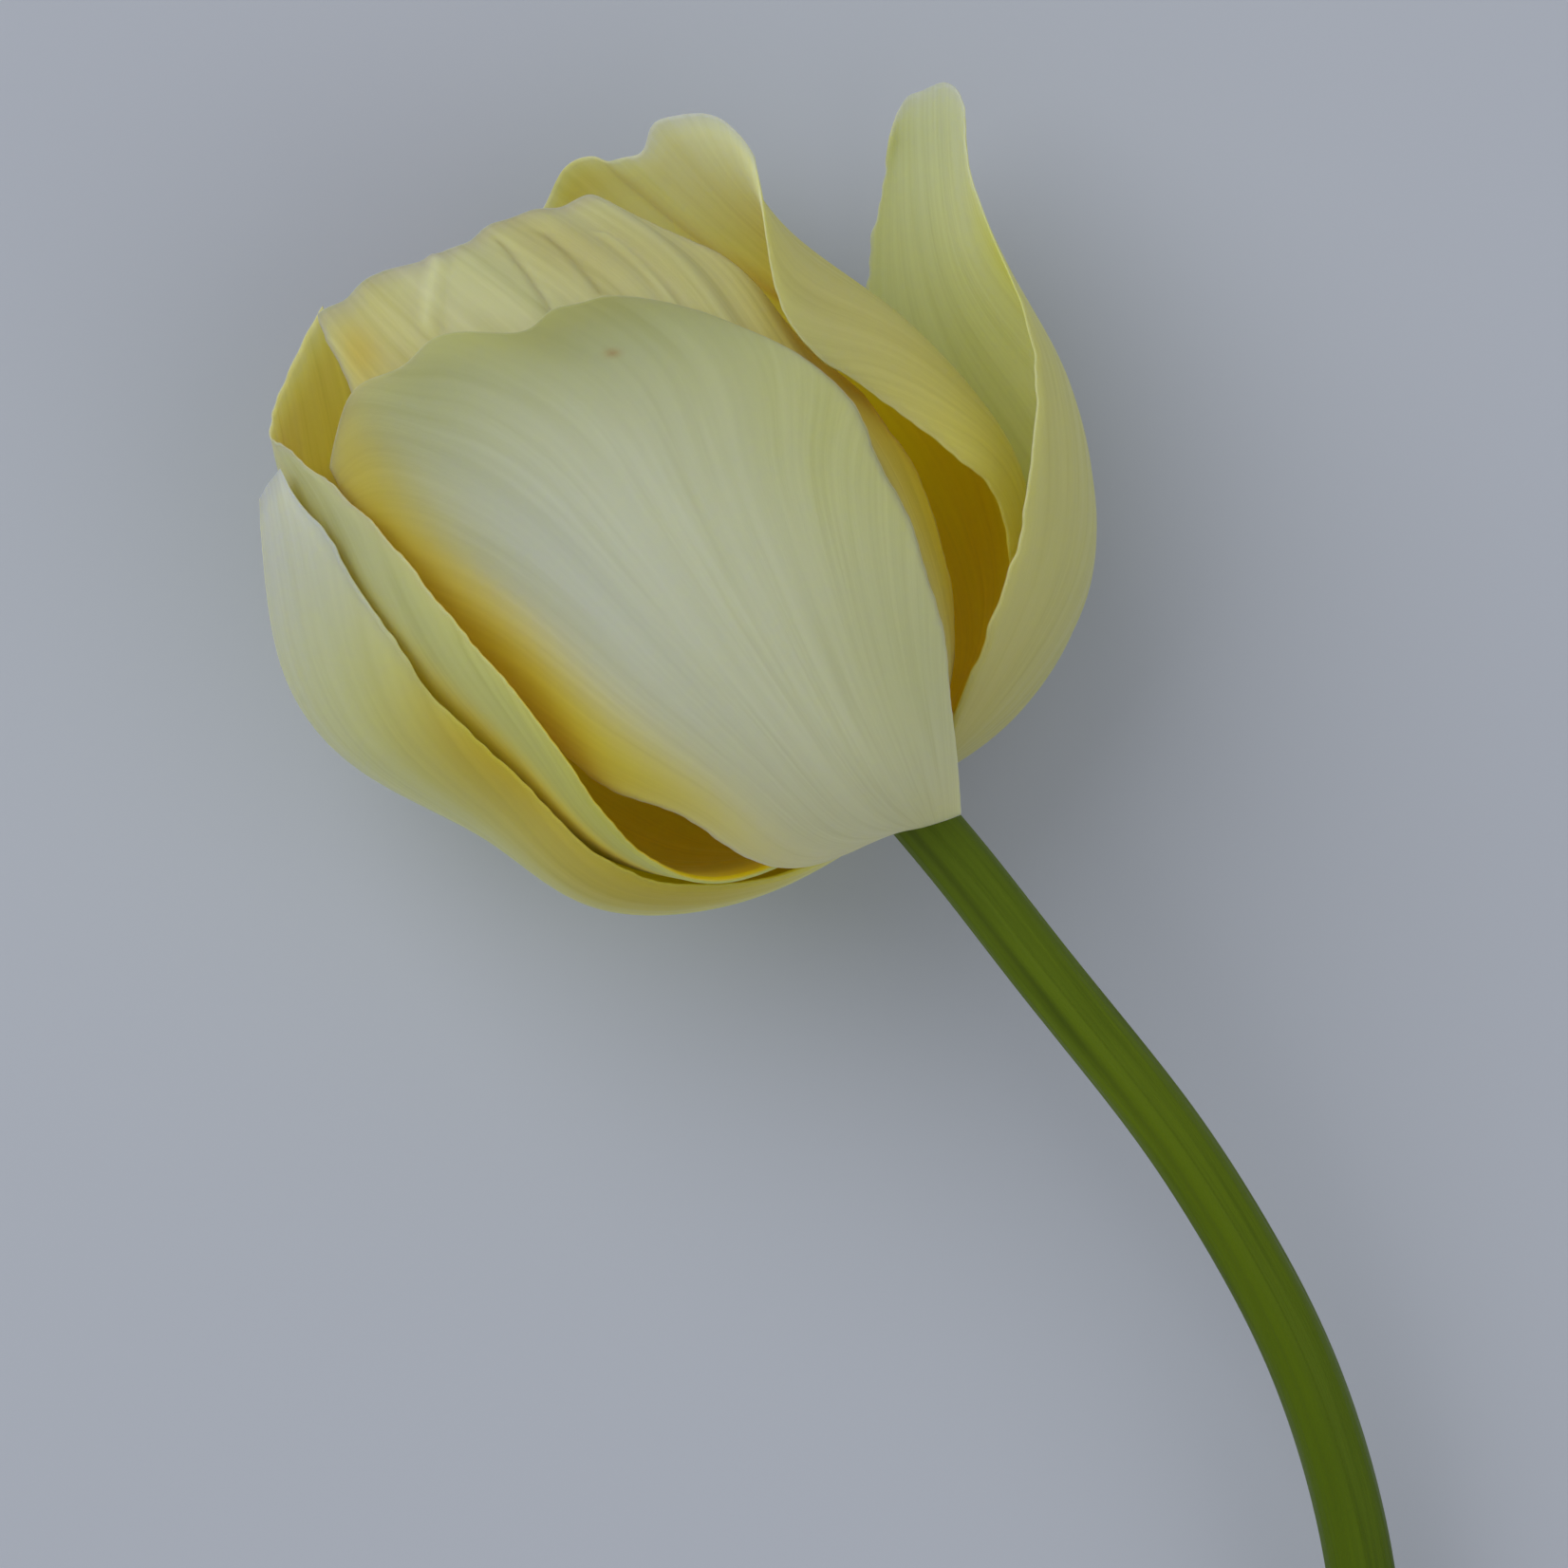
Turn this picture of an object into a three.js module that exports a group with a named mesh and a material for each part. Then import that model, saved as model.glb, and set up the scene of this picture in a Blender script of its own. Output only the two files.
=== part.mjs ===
// A single cut tulip lying on its side: six petals in two rings of three, a
// curved stem with its receptacle, an ovary with a three-lobed stigma, and six
// stamens. Millimetres, +Z up. +Y runs from the cut end of the stem toward the
// flower, and the flower's own axis leans 45 degrees from +Y toward -X.
import * as THREE from 'three';

// ---- driving dimensions, mm -------------------------------------------------
const PETAL_THICKNESS = 0.8;
const PETAL_ROWS = 25;          // grid points from claw to tip
const PETAL_COLUMNS = 14;       // grid points from edge to edge
const STEM_SIDES = 20;
const STEM_ROWS = 44;
const STEM_RADIUS_TOP = 3.35;
const STEM_RADIUS_END = 3.95;
const OVARY_START = 5.5, OVARY_END = 27.0, OVARY_RADIUS = 3.2;
const STIGMA_START = 27.5, STIGMA_END = 32.5, STIGMA_RADIUS = 4.0;
const STAMEN_COUNT = 6;
const FILAMENT_RADIUS = 0.6;
const ANTHER_START = 16.8, ANTHER_END = 29.5, ANTHER_RADIUS = 1.35;

// Middle of the stem's top: the origin of the flower's own frame.
const PLACE = new THREE.Vector3(7.7, 34.5, 31.4);
// Flower frame: H along the axis from stem to mouth, W across, D up.
const H = new THREE.Vector3(-Math.SQRT1_2, Math.SQRT1_2, 0);
const W = new THREE.Vector3(Math.SQRT1_2, Math.SQRT1_2, 0);
const D = new THREE.Vector3(0, 0, 1);

// Ribs are laid out in a plan drawn for an eye EYE mm above the middle plane,
// over the point (PLAN_H, PLAN_W), so a point at height d is drawn in toward
// that point by d / EYE.
const EYE = 500, PLAN_H = 13.1, PLAN_W = -8.0;

// Each petal: three ribs (its left edge, its middle line and its right edge) of
// [h, w, d] from the claw at the stem to the tip; the half angle of its round
// cross-section in degrees; and how far the lip runs past the ribs' ends at
// nine places from the left edge to the right edge.
const PETALS = {
  outer_petal_front: {
    arc: 52,
    left: [[1.8, -3.2, 4.6], [7.2, -14.5, 14], [17, -17.6, 19], [28, -21.8, 17.5], [42, -22, 16], [57, -21.6, 15.5], [70.4, -18.1, 13]],
    middle: [[0, -0.8, 5.8], [5.5, -2, 21], [16, -1.5, 29], [30, -0.5, 32.5], [44, 0.5, 32], [57, 2, 28.5], [69.5, 2.5, 21]],
    right: [[-2.1, 3.1, 4.8], [5, 9, 14], [12, 14.6, 18.5], [21, 19.8, 20.5], [31, 23.6, 20.5], [41, 25.6, 19.5], [54, 21, 18]],
    lip: [0, 1.2, 2.8, 2.3, 1, 1.8, 0.3, -1.9, 0.4, 1.5, 2.9, 2.4, 0],
  },
  inner_petal_front: {
    arc: 50,
    left: [[4.5, 1, 3.9], [7.5, -5, 14], [17, -9, 22.5], [30, -12, 25], [45, -13, 24.5], [62, -14, 18.5], [81.3, -8.2, 9.5]],
    middle: [[4.5, 3, 2.6], [8, 6, 13.5], [18, 8, 21], [32, 9, 24.5], [48, 10, 24], [64, 10, 19], [78.3, 8, 11]],
    right: [[4.5, 3.9, 0.4], [9, 12.5, 5.8], [17, 20.2, 10.5], [30, 26, 11.5], [43, 26.6, 10], [55, 26.8, 8.5], [69.7, 22.3, 6]],
    lip: [1.5, 1.3, 0.9, 0.9, 0, -1.5, -1.3, 0, 0.5, 0.2, 0, 0, 0],
  },
  inner_petal_back: {
    arc: 62,
    left: [[4.5, 3.5, -2], [9, 20, 3], [18, 28.8, 8], [28, 28.8, 13], [38, 27.3, 15.5], [48, 27.2, 15], [62, 36.5, 5]],
    middle: [[4.5, 1.1, -3.9], [8, 16.5, -11.5], [17, 25, -15.5], [28, 29, -17.5], [42, 30, -18], [57, 28.7, -15], [72.2, 28, -9]],
    right: [[4.5, -1.7, -3.6], [8.5, -5, -15], [15.5, -8, -24], [27, -9, -26.5], [42, -8, -26.5], [57, -3, -24.5], [71, 6, -19]],
    lip: [0, 0.6, 1.5, 1.6, 1.5, 0.8, -1.4, 1.1, 2.2, 1, 1.2, 2.2, 1],
  },
  outer_petal_right: {
    arc: 60,
    left: [[3.4, 5.6, 1], [7.4, 14.2, 9.5], [12.3, 25, 15], [19.5, 35.5, 14.5], [29, 44.3, 8], [41, 49.5, 2], [50.2, 55.9, -3]],
    middle: [[3, 5.4, -1.5], [1.6, 15.5, -5], [4.4, 27.5, -10], [12.5, 34.8, -13], [24.5, 38.5, -15], [39, 42, -15], [54.2, 54.2, -9]],
    right: [[2.6, 3.4, -4.5], [3.2, 8, -17], [7.5, 12, -27], [18, 15, -30.5], [31, 20, -30.3], [45, 36.5, -24], [53.4, 48.2, -13]],
    lip: [0, 0.5, 0.7, 0.5, 0.2, 0.5, 1, 0.7, 0],
  },
  outer_petal_left: {
    arc: 58,
    left: [[2.6, -0.8, -5.6], [4.5, -3, -18], [12, -5, -28], [27, -6, -30.8], [42, -7, -30.6], [56, -8, -26.5], [69.5, -10, -18]],
    middle: [[2.8, -4, -4], [6.8, -17, -7], [16.5, -27.8, -9], [30, -31.4, -11], [45, -36.2, -11], [59, -35, -10], [72.2, -24.5, -3]],
    right: [[3.2, -5.6, -0.2], [7.5, -16.6, 4.2], [18.5, -26.3, 11.5], [32, -27.3, 17], [45, -27.6, 19], [59, -25.1, 17.5], [74, -21.9, 12.3]],
    lip: [0, 0, 0, 0, 0, 0, 0, 0, 0],
  },
  inner_petal_left: {
    arc: 55,
    left: [[4.5, -3.6, -1.7], [7.5, -10, -10], [14, -13, -20], [27, -16, -23.5], [42, -18, -23.5], [58, -16, -19], [83, -7, -6]],
    middle: [[4.5, -3.9, 0.8], [9, -15, 0], [18, -24.5, -2], [31, -28.5, -4], [45, -31.5, -5], [60, -30, -4], [79.5, -17, 2]],
    right: [[4.5, -2.4, 3.2], [10.2, -19.4, 9], [22, -23.8, 18], [35, -21.8, 24.5], [48, -20.6, 25.5], [61, -19.4, 21.5], [76, -20, 10]],
    lip: [0, 0, 0, 0, 0, 0, 0, 0, 0],
  },
};

// Middle line of the stem as [x, y, d] from the receptacle's top to the cut
// end: x and y from the plan's centre, d above the middle plane.
const STEM_LINE = [
  [11.4, -0.1, 0], [19.0, -9.1, -1.0], [26.5, -18.7, -2.8], [34.3, -28.4, -5.0],
  [41.6, -38.0, -7.2], [48.4, -48.8, -9.4], [53.9, -59.5, -11.4], [58.0, -70.8, -13.4],
  [60.7, -82.6, -15.4], [62.0, -94.6, -17.5], [62.6, -106.6, -19.8], [62.9, -118.6, -22.2],
  [62.8, -130.6, -24.6], [62.5, -142.6, -27.5],
];
const STEM_TOP = [14.9, -3.6];  // the same origin, in the plan's x and y

// ---- helpers ----------------------------------------------------------------
/** Natural cubic spline through evenly spaced points, sampled at t in 0..1. */
function spline(points) {
  const n = points.length, size = points[0].length;
  const bend = points.map(() => new Array(size).fill(0));
  for (let k = 0; k < size; k++) {
    const c = new Array(n).fill(0), e = new Array(n).fill(0);
    for (let i = 1; i < n - 1; i++) {
      const pull = 6 * (points[i - 1][k] - 2 * points[i][k] + points[i + 1][k]);
      const m = 4 - c[i - 1];
      c[i] = 1 / m;
      e[i] = (pull - e[i - 1]) / m;
    }
    for (let i = n - 2; i > 0; i--) bend[i][k] = e[i] - c[i] * bend[i + 1][k];
  }
  return (t) => {
    const x = t * (n - 1), i = Math.min(Math.floor(x), n - 2), f = x - i, g = 1 - f;
    return points[i].map((a, k) => a * g + points[i + 1][k] * f
      + (g * g * g - g) * bend[i][k] / 6 + (f * f * f - f) * bend[i + 1][k] / 6);
  };
}

/** A point h along the flower's axis, w across it and d above it. */
function flower(h, w, d) {
  return PLACE.clone().addScaledVector(H, h).addScaledVector(W, w).addScaledVector(D, d);
}

/** A rib point drawn in from the plan, in the part's frame. */
function drawn([h, w, d]) {
  const k = 1 - d / EYE;
  return flower(PLAN_H + (h - PLAN_H) * k, PLAN_W + (w - PLAN_W) * k, d);
}

/** A closed mesh from rings of points: walls between rings, a fan at each end. */
function closedMesh(name, vertices, triangles, colour, roughness) {
  const geometry = new THREE.BufferGeometry();
  geometry.setAttribute('position', new THREE.Float32BufferAttribute(vertices.flatMap((p) => [p.x, p.y, p.z]), 3));
  geometry.setIndex(triangles.flat());
  geometry.computeVertexNormals();
  const mesh = new THREE.Mesh(geometry, new THREE.MeshStandardMaterial({ color: colour, roughness, metalness: 0 }));
  mesh.name = name;
  return mesh;
}

/** A solid of stacked rings, each ring the same number of points. */
function lofted(name, rings, colour, roughness) {
  const n = rings[0].length, vertices = rings.flat(), triangles = [];
  for (let i = 0; i + 1 < rings.length; i++) {
    for (let j = 0; j < n; j++) {
      const a = i * n + j, b = i * n + (j + 1) % n;
      triangles.push([a, b, b + n], [a, b + n, a + n]);
    }
  }
  const middle = (ring) => ring.reduce((s, p) => s.add(p), new THREE.Vector3()).multiplyScalar(1 / n);
  const first = vertices.length, last = first + 1, top = (rings.length - 1) * n;
  vertices.push(middle(rings[0]), middle(rings[rings.length - 1]));
  for (let j = 0; j < n; j++) {
    const k = (j + 1) % n;
    triangles.push([first, k, j], [last, top + j, top + k]);
  }
  return closedMesh(name, vertices, triangles, colour, roughness);
}

/** Middle surface of a petal: a round arc across from rib to rib at each row. */
function petalSheet(petal) {
  const ribs = [petal.left, petal.middle, petal.right].map((rib) => spline(rib.map((p) => drawn(p).toArray())));
  const lip = spline(petal.lip.map((x) => [x]));
  const a = THREE.MathUtils.degToRad(petal.arc);
  const at = (u, v) => {
    const [l, m, r] = ribs.map((rib) => new THREE.Vector3(...rib(u)));
    const even = (Math.cos(a * v) - Math.cos(a)) / (1 - Math.cos(a));
    const odd = Math.sin(a * v) / Math.sin(a);
    return m.multiplyScalar(even)
      .addScaledVector(l, (1 - even - odd) / 2)
      .addScaledVector(r, (1 - even + odd) / 2);
  };
  const step = 1e-4;
  return (u, v) => {
    const along = at(Math.min(u + step, 1), v).sub(at(Math.max(u - step, 0), v)).normalize();
    const reach = lip((v + 1) / 2)[0] * Math.max(0, (u - 0.7) / 0.3) ** 1.5;
    return at(u, v).addScaledVector(along, reach);
  };
}

/** A petal: its middle surface thickened by half the thickness on each side. */
function petalMesh(name, petal, colour) {
  const sheet = petalSheet(petal), step = 0.004;
  const outside = [], inside = [];
  for (let i = 0; i < PETAL_ROWS; i++) {
    for (let j = 0; j < PETAL_COLUMNS; j++) {
      const u = i / (PETAL_ROWS - 1), v = -1 + 2 * j / (PETAL_COLUMNS - 1);
      const p = sheet(u, v);
      const du = sheet(Math.min(u + step, 1), v).sub(sheet(Math.max(u - step, 0), v));
      const dv = sheet(u, Math.min(v + step, 1)).sub(sheet(u, Math.max(v - step, -1)));
      const normal = dv.cross(du).normalize();
      outside.push(p.clone().addScaledVector(normal, PETAL_THICKNESS / 2));
      inside.push(p.addScaledVector(normal, -PETAL_THICKNESS / 2));
    }
  }
  const vertices = [...outside, ...inside], half = outside.length, triangles = [];
  const n = PETAL_COLUMNS, m = PETAL_ROWS;
  for (let i = 0; i + 1 < m; i++) {
    for (let j = 0; j + 1 < n; j++) {
      const a = i * n + j, b = a + 1, c = a + n + 1, d = a + n;
      triangles.push([a, b, c], [a, c, d]);
      triangles.push([half + a, half + c, half + b], [half + a, half + d, half + c]);
    }
  }
  const rim = [];
  for (let j = 0; j + 1 < n; j++) rim.push(j);
  for (let i = 0; i + 1 < m; i++) rim.push(i * n + n - 1);
  for (let j = n - 1; j > 0; j--) rim.push((m - 1) * n + j);
  for (let i = m - 1; i > 0; i--) rim.push(i * n);
  rim.forEach((a, k) => {
    const b = rim[(k + 1) % rim.length];
    triangles.push([a, half + a, half + b], [a, half + b, b]);
  });
  return closedMesh(name, vertices, triangles, colour, 0.55);
}

/** The stem: circles swept along its line, narrowing to the receptacle's top. */
function stemMesh() {
  const line = spline(STEM_LINE.map(([x, y, d]) => {
    const k = 1 - d / EYE;
    return [PLACE.x + x * k - STEM_TOP[0], PLACE.y + y * k - STEM_TOP[1], PLACE.z + d];
  }));
  const rings = [];
  let side = D.clone();
  for (let i = 0; i < STEM_ROWS; i++) {
    const t = i / (STEM_ROWS - 1);
    const centre = new THREE.Vector3(...line(t));
    const ahead = new THREE.Vector3(...line(Math.min(t + 1e-3, 1)))
      .sub(new THREE.Vector3(...line(Math.max(t - 1e-3, 0)))).normalize();
    side.addScaledVector(ahead, -side.dot(ahead)).normalize();
    const other = new THREE.Vector3().crossVectors(ahead, side);
    const radius = STEM_RADIUS_TOP + (STEM_RADIUS_END - STEM_RADIUS_TOP) * t - (i === 0 ? 0.6 : 0);
    const ring = [];
    for (let j = 0; j < STEM_SIDES; j++) {
      const a = 2 * Math.PI * j / STEM_SIDES;
      ring.push(centre.clone().addScaledVector(side, radius * Math.cos(a)).addScaledVector(other, radius * Math.sin(a)));
    }
    rings.push(ring);
  }
  return lofted('stem', rings, '#5a6a22', 0.5);
}

/** A solid of revolution-like rings about the flower's axis. */
function axial(name, profile, sides, lobes, colour, roughness) {
  const rings = profile.map(([h, r, lobe]) => {
    const ring = [];
    for (let j = 0; j < sides; j++) {
      const a = 2 * Math.PI * j / sides;
      const radius = r * (1 + lobe * Math.cos(lobes * a));
      ring.push(flower(h, radius * Math.sin(a), radius * Math.cos(a)));
    }
    return ring;
  });
  return lofted(name, rings, colour, roughness);
}

/** A slim body along a bent line beside the ovary, oval across. */
function stamenPart(name, azimuth, points, radii, sides, colour) {
  const line = spline(points);
  const out = W.clone().multiplyScalar(Math.sin(azimuth)).addScaledVector(D, Math.cos(azimuth));
  const across = new THREE.Vector3().crossVectors(H, out);
  const n = radii.length;
  const rings = radii.map(([t, wide, deep]) => {
    const [h, r] = line(t);
    const centre = flower(h, 0, 0).addScaledVector(out, r);
    const ring = [];
    for (let j = 0; j < sides; j++) {
      const a = 2 * Math.PI * j / sides;
      ring.push(centre.clone().addScaledVector(across, wide * Math.sin(a)).addScaledVector(out, deep * Math.cos(a)));
    }
    return ring;
  });
  return lofted(name, rings, colour, 0.7);
}

// ---- the flower -------------------------------------------------------------
const tulip = new THREE.Group();
tulip.name = 'tulip';
tulip.add(stemMesh());
const PETAL_COLOURS = {
  outer_petal_front: '#c3c6a4', outer_petal_right: '#c2c58f', outer_petal_left: '#cfd2a2',
  inner_petal_front: '#c9bd84', inner_petal_back: '#bfc08a', inner_petal_left: '#b9bd93',
};
for (const [name, petal] of Object.entries(PETALS)) tulip.add(petalMesh(name, petal, PETAL_COLOURS[name]));

const ovary = [];
for (let i = 0; i <= 10; i++) {
  const t = i / 10;
  const radius = OVARY_RADIUS * (0.5 + 0.5 * Math.sin(Math.PI * Math.min(1, 0.15 + 0.62 * t) ** 0.8));
  ovary.push([OVARY_START + (OVARY_END - OVARY_START) * t, i === 0 ? 1.5 : radius * (i === 10 ? 0.75 : 1), 0.06]);
}
tulip.add(axial('ovary', ovary, 24, 3, '#a9b06a', 0.5));
tulip.add(axial('stigma', [
  [STIGMA_START, 2.2, 0.1], [STIGMA_START + 1, 3.1, 0.22], [STIGMA_START + 2.4, STIGMA_RADIUS, 0.3],
  [STIGMA_START + 3.6, STIGMA_RADIUS * 0.93, 0.32], [STIGMA_START + 4.5, 2.7, 0.3], [STIGMA_END, 1.2, 0.2],
], 24, 3, '#d9d39a', 0.7));
for (let i = 0; i < STAMEN_COUNT; i++) {
  const azimuth = 2 * Math.PI * i / STAMEN_COUNT + 0.15;
  tulip.add(stamenPart(`filament_${i + 1}`, azimuth,
    [[5.5, 2.75], [9, 4.5], [12.6, 5.4], [16.3, 5.9]],
    [[0, 0.6, 0.5], [0.2, 1, 1], [0.4, 1, 1], [0.6, 1, 1], [0.8, 0.9, 0.9], [1, 0.45, 0.45]]
      .map(([t, a, b]) => [t, FILAMENT_RADIUS * a, FILAMENT_RADIUS * b]), 10, '#cfc98a'));
  tulip.add(stamenPart(`anther_${i + 1}`, azimuth,
    [[ANTHER_START, 6.0], [21, 6.5], [25.2, 6.8], [ANTHER_END, 6.9]],
    [[0, 0.35, 0.35], [0.08, 0.75, 0.65], [0.25, 1, 0.8], [0.5, 1, 0.8], [0.75, 0.95, 0.75], [0.93, 0.7, 0.6], [1, 0.3, 0.3]]
      .map(([t, a, b]) => [t, ANTHER_RADIUS * a, ANTHER_RADIUS * b]), 12, '#8a7a3a'));
}

export default tulip;
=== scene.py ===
# %% [markdown]
# # A cut tulip, lying on its side
#
# This file is a lesson in building one flower in Blender. A tulip has six
# petals in two rings of three: the outer three are closed round the inner
# three. Below them is a bare stem, and inside them stand the ovary with its
# three-lobed stigma and six stamens. The solids in the frame fix where each
# of these is and how large; every cell here makes one of them fine enough to
# look grown.

# %% Load the solids that fix every size and place
import math

import bpy
import numpy as np
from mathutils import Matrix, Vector


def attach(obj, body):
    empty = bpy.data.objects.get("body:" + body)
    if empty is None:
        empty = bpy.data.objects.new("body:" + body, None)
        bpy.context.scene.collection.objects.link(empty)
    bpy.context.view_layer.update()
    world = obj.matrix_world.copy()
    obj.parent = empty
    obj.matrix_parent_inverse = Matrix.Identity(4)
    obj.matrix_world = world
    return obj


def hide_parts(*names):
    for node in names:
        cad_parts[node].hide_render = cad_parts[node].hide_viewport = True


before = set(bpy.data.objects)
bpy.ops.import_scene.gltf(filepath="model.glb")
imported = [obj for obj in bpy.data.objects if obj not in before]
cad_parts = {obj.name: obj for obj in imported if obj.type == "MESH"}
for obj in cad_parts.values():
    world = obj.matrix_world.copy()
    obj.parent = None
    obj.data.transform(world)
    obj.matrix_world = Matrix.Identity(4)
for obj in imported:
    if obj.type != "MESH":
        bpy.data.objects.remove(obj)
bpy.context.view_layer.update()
print("nodes:", ", ".join(sorted(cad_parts)))

# %% [markdown]
# ## The flower's own frame
#
# A flower is easiest to describe along its own axis. `h` is the height along
# that axis from the top of the stem to the mouth, `w` runs across it, and `d`
# stands up from the surface the flower lies on. The axis lies level, turned
# 45 degrees, so a single small function carries any (h, w, d) to the shared
# frame. All lengths are in millimetres until the mesh is written.

# %% Place the flower's frame
MM = 0.001
STEM_TOP = np.array([7.7, 34.5, 31.4])
ALONG = np.array([-1.0, 1.0, 0.0]) / math.sqrt(2)
ACROSS = np.array([1.0, 1.0, 0.0]) / math.sqrt(2)
UP = np.array([0.0, 0.0, 1.0])
EYE = 500.0                     # height of the eye over the flower's middle
PLAN_H, PLAN_W = 13.1, -8.0     # the point of the flower right below the eye


def from_flower(hwd):
    """Stem top plus h along the axis, w across it and d upward."""
    h, w, d = np.moveaxis(np.asarray(hwd, float), -1, 0)
    return STEM_TOP + h[..., None] * ALONG + w[..., None] * ACROSS + d[..., None] * UP


def drawn_in(hwd):
    """Rib points are drawn in plan as the eye sees them; a point d above the
    middle is moved toward the point below the eye by d / EYE of its distance."""
    p = np.array(hwd, float)
    k = 1 - p[..., 2] / EYE
    p[..., 0] = PLAN_H + (p[..., 0] - PLAN_H) * k
    p[..., 1] = PLAN_W + (p[..., 1] - PLAN_W) * k
    return from_flower(p)


print("stem top at", STEM_TOP, "mm")

# %% [markdown]
# ## A smooth line through a few points
#
# Petals and stems have no straight lines, but each can be steered by a few
# points. A natural cubic spline passes through every point with no kinks, and
# goes straight at its two ends. It is one small linear solve, and after it any
# number of places can be read off at once.

# %% Natural cubic spline
def spline(points, t):
    """Cubic through evenly spaced points with matching slope and bend at
    each, and no bend at the ends. t runs from 0 to 1."""
    p = np.asarray(points, float)
    n = len(p)
    matrix = np.eye(n)
    pull = np.zeros_like(p)
    inner = np.arange(1, n - 1)
    for offset, weight in ((-1, 1), (0, 4), (1, 1)):
        matrix[inner, inner + offset] = weight
    pull[inner] = 6 * (p[:-2] - 2 * p[1:-1] + p[2:])
    bend = np.linalg.solve(matrix, pull)
    x = np.asarray(t, float) * (n - 1)
    i = np.clip(x.astype(int), 0, n - 2)
    f = (x - i).reshape(x.shape + (1,) * (p.ndim - 1))
    g = 1 - f
    return (p[i] * g + p[i + 1] * f
            + ((g ** 3 - g) * bend[i] + (f ** 3 - f) * bend[i + 1]) / 6)


print("halfway through 0, 1, 0:", float(spline([0.0, 1.0, 0.0], np.array([0.5]))[0]))

# %% [markdown]
# ## The camera
#
# The flower lies on the floor, so the eye looks straight down on it. The
# camera stands over the flower's middle, and its lens takes in the head and
# the upper part of the stem.

# %% Camera looking straight down
FRAME_WIDTH = 165.2             # width in view at the flower's middle, mm
below_eye = from_flower([PLAN_H, PLAN_W, 0.0])
camera_data = bpy.data.cameras.new("camera")
camera_data.sensor_width = 36.0
camera_data.lens = 36.0 * EYE / FRAME_WIDTH
camera = bpy.data.objects.new("camera", camera_data)
camera.location = (below_eye + EYE * UP) * MM
bpy.context.scene.collection.objects.link(camera)
bpy.context.scene.camera = camera
print("camera at", [round(x, 3) for x in camera.location], "lens", round(camera_data.lens, 1))

# %% [markdown]
# ## The floor and the light
#
# A pale floor and a wide soft light from one side, as from a window, suit
# petals: hard light would flatten them, and light from one side lets each
# petal shade from bright to dim. The floor carries almost no pattern, only
# enough grain to read as a real surface.

# %% Floor
def new_material(name):
    """A node material with its Principled shader, ready to be wired."""
    material = bpy.data.materials.new(name)
    material.use_nodes = True
    return material, material.node_tree.nodes, material.node_tree.links, \
        material.node_tree.nodes["Principled BSDF"]


def floor_material():
    """Pale matt grey with a very faint mottle."""
    material, nodes, links, shader = new_material("floor")
    place = nodes.new("ShaderNodeTexCoord")
    noise = nodes.new("ShaderNodeTexNoise")
    noise.inputs["Scale"].default_value = 9.0
    ramp = nodes.new("ShaderNodeValToRGB")
    ramp.color_ramp.elements[0].color = (0.500, 0.530, 0.600, 1)
    ramp.color_ramp.elements[1].color = (0.515, 0.545, 0.615, 1)
    links.new(place.outputs["Object"], noise.inputs["Vector"])
    links.new(noise.outputs["Fac"], ramp.inputs["Fac"])
    links.new(ramp.outputs["Color"], shader.inputs["Base Color"])
    shader.inputs["Roughness"].default_value = 0.9
    shader.inputs["Specular IOR Level"].default_value = 0.2
    return material


FLOOR_HALF = 3.0
floor_mesh = bpy.data.meshes.new("floor")
floor_mesh.from_pydata([(-FLOOR_HALF, -FLOOR_HALF, 0), (FLOOR_HALF, -FLOOR_HALF, 0),
                        (FLOOR_HALF, FLOOR_HALF, 0), (-FLOOR_HALF, FLOOR_HALF, 0)],
                       [], [(0, 1, 2, 3)])
floor = bpy.data.objects.new("floor", floor_mesh)
floor.data.materials.append(floor_material())
bpy.context.scene.collection.objects.link(floor)
print("floor", 2 * FLOOR_HALF, "m wide")

# %% Soft light from one side and a dim room
def soft_light(name, place, aim, size, power, colour):
    """A square area light at a place, turned to face a point."""
    data = bpy.data.lights.new(name, "AREA")
    data.size = size
    data.energy = power
    data.color = colour
    lamp = bpy.data.objects.new(name, data)
    lamp.location = place
    lamp.rotation_euler = (Vector(aim) - Vector(place)).to_track_quat("-Z", "Y").to_euler()
    bpy.context.scene.collection.objects.link(lamp)


soft_light("window", (-1.1, 0.9, 1.5), (0, 0.05, 0), 1.8, 18.0, (0.98, 0.99, 1.0))
soft_light("room", (1.2, -0.6, 1.6), (0, 0.05, 0), 1.8, 6.0, (1.0, 0.97, 0.93))
world = bpy.data.worlds.new("room")
world.use_nodes = True
world.node_tree.nodes["Background"].inputs["Color"].default_value = (0.93, 0.96, 1.0, 1)
world.node_tree.nodes["Background"].inputs["Strength"].default_value = 0.42
bpy.context.scene.world = world
bpy.context.scene.view_settings.view_transform = "Standard"
print("lights: window, room and a dim sky")

# %% [markdown]
# ## The shape of a petal
#
# A petal is a thin sheet that is curved both ways. It could be sculpted, but
# three ribs say nearly everything about it: its left edge, its middle line
# and its right edge, each a spline from the narrow claw at the stem to the
# tip. Across the petal, from edge to edge, runs a round arc through the three
# ribs. The lip then runs past the ribs' ends by a little more or less from
# edge to edge, which gives lobes, notches and a point.

# %% A sheet over three ribs
LIP_START, LIP_RUN = 0.7, 0.3           # where along u the lip begins to reach out


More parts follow.
